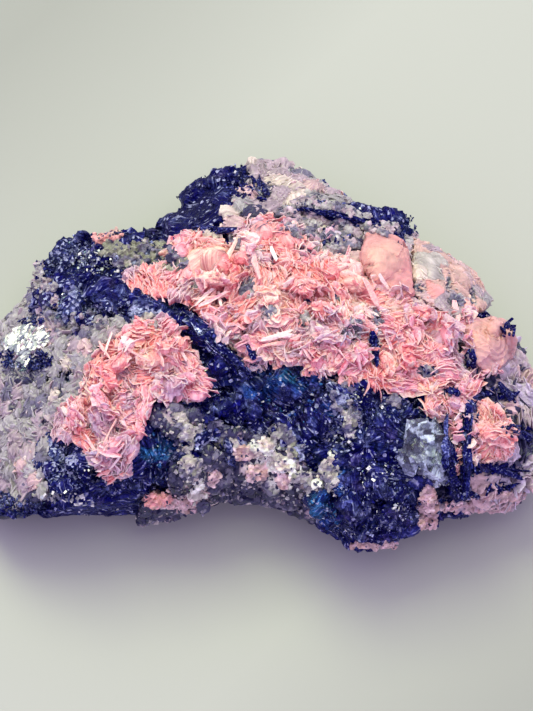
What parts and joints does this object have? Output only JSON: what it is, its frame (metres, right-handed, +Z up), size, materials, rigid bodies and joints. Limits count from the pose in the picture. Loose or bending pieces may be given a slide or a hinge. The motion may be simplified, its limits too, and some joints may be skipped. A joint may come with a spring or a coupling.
{
  "type": "calcite with hematite mineral specimen",
  "caption": "Hand-size mineral specimen: dark blocky hematite rock grown over with rosettes of pink bladed calcite, grainy grey and white calcite crusts, and a blocky grey quartz.",
  "frame": {"origin": "middle of the specimen's box, on the surface it rests on", "axes": "+Z up, +X to the right along the longest side, -Y the low edge of the show face, which leans back towards +Y"},
  "size_m": [0.1356, 0.1022, 0.0482],
  "materials": {
    "hematite": "dark navy to black, broken faces with a metallic glint",
    "pink_calcite": "translucent salmon pink blades, pearly edges",
    "salmon_calcite": "satin, slightly translucent",
    "cream_calcite": "satin, slightly translucent",
    "grey_calcite": "sugary, translucent grains",
    "white_calcite": "sugary, translucent grains",
    "mauve_calcite": "sugary grains and small pink blades",
    "quartz": "clear grey, glossy flat faces"
  },
  "bodies": {
    "root": {"hematite_rock": "hematite", "main_pink_blades": "pink_calcite", "left_pink_blades": "pink_calcite", "pink_fan": "pink_calcite", "salmon_crystal": "salmon_calcite", "salmon_rosette": "salmon_calcite", "cream_crystals": "cream_calcite", "top_grey_calcite": "grey_calcite", "left_grey_calcite": "grey_calcite", "lower_white_calcite": "white_calcite", "right_grey_calcite": "mauve_calcite", "grey_quartz": "quartz"}
  },
  "joints": []
}
